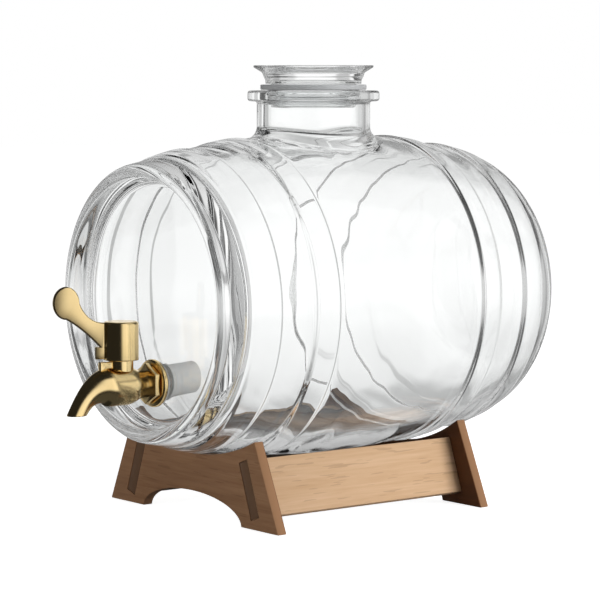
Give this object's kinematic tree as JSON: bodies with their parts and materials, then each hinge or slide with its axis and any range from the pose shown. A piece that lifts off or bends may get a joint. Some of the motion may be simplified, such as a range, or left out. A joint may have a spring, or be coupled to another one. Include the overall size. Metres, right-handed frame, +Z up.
{
  "type": "drink dispenser",
  "caption": "Clear glass barrel lying on a low wooden cradle stand, with hoops, a neck with push-in glass lid, and a gold lever tap in its recessed front disc.",
  "frame": {"origin": "on the floor, under the middle of the whole part's box", "axes": "+Z up, -Y the way the tap points, +Y towards the closed rear of the barrel, +X to the right of somebody who stands at the tap's end and looks towards +Y"},
  "size_m": [0.1198, 0.196, 0.1646],
  "materials": {
    "stand_plate_wood": "satin",
    "stand_rail_wood": "satin",
    "clear_glass": "clear",
    "gold_plate": "polished",
    "lid_silicone": "matte",
    "washer_silicone": "matte",
    "nut_plastic": "matte"
  },
  "bodies": {
    "stand": {"stand_front_plate": "stand_plate_wood", "stand_rear_plate": "stand_plate_wood", "stand_left_rail": "stand_rail_wood", "stand_right_rail": "stand_rail_wood"},
    "barrel": {"glass_barrel": "clear_glass", "tap_body": "gold_plate", "tap_cover_disc": "gold_plate", "tap_outer_washer": "washer_silicone", "tap_inner_washer": "washer_silicone", "tap_backing_nut": "nut_plastic", "valve_gland_nut": "gold_plate"},
    "lid": {"lid_glass": "clear_glass", "lid_seal": "lid_silicone"},
    "lever": {"tap_lever": "gold_plate", "valve_plug": "gold_plate", "plug_o_ring_upper": "washer_silicone", "plug_o_ring_lower": "washer_silicone"}
  },
  "joints": [
    {"name": "barrel_lift", "type": "slide", "parent": "stand", "child": "barrel", "axis": [0, 0, 1], "range_m": [0, 0.04]},
    {"name": "lid_lift", "type": "slide", "parent": "barrel", "child": "lid", "axis": [0, 0, 1], "range_m": [0, 0.03]},
    {"name": "lever_turn", "type": "hinge", "parent": "barrel", "child": "lever", "pos_m": [0, -0.07552, 0.0502], "axis": [0, 0, 1], "range_deg": [-63, 117]}
  ]
}
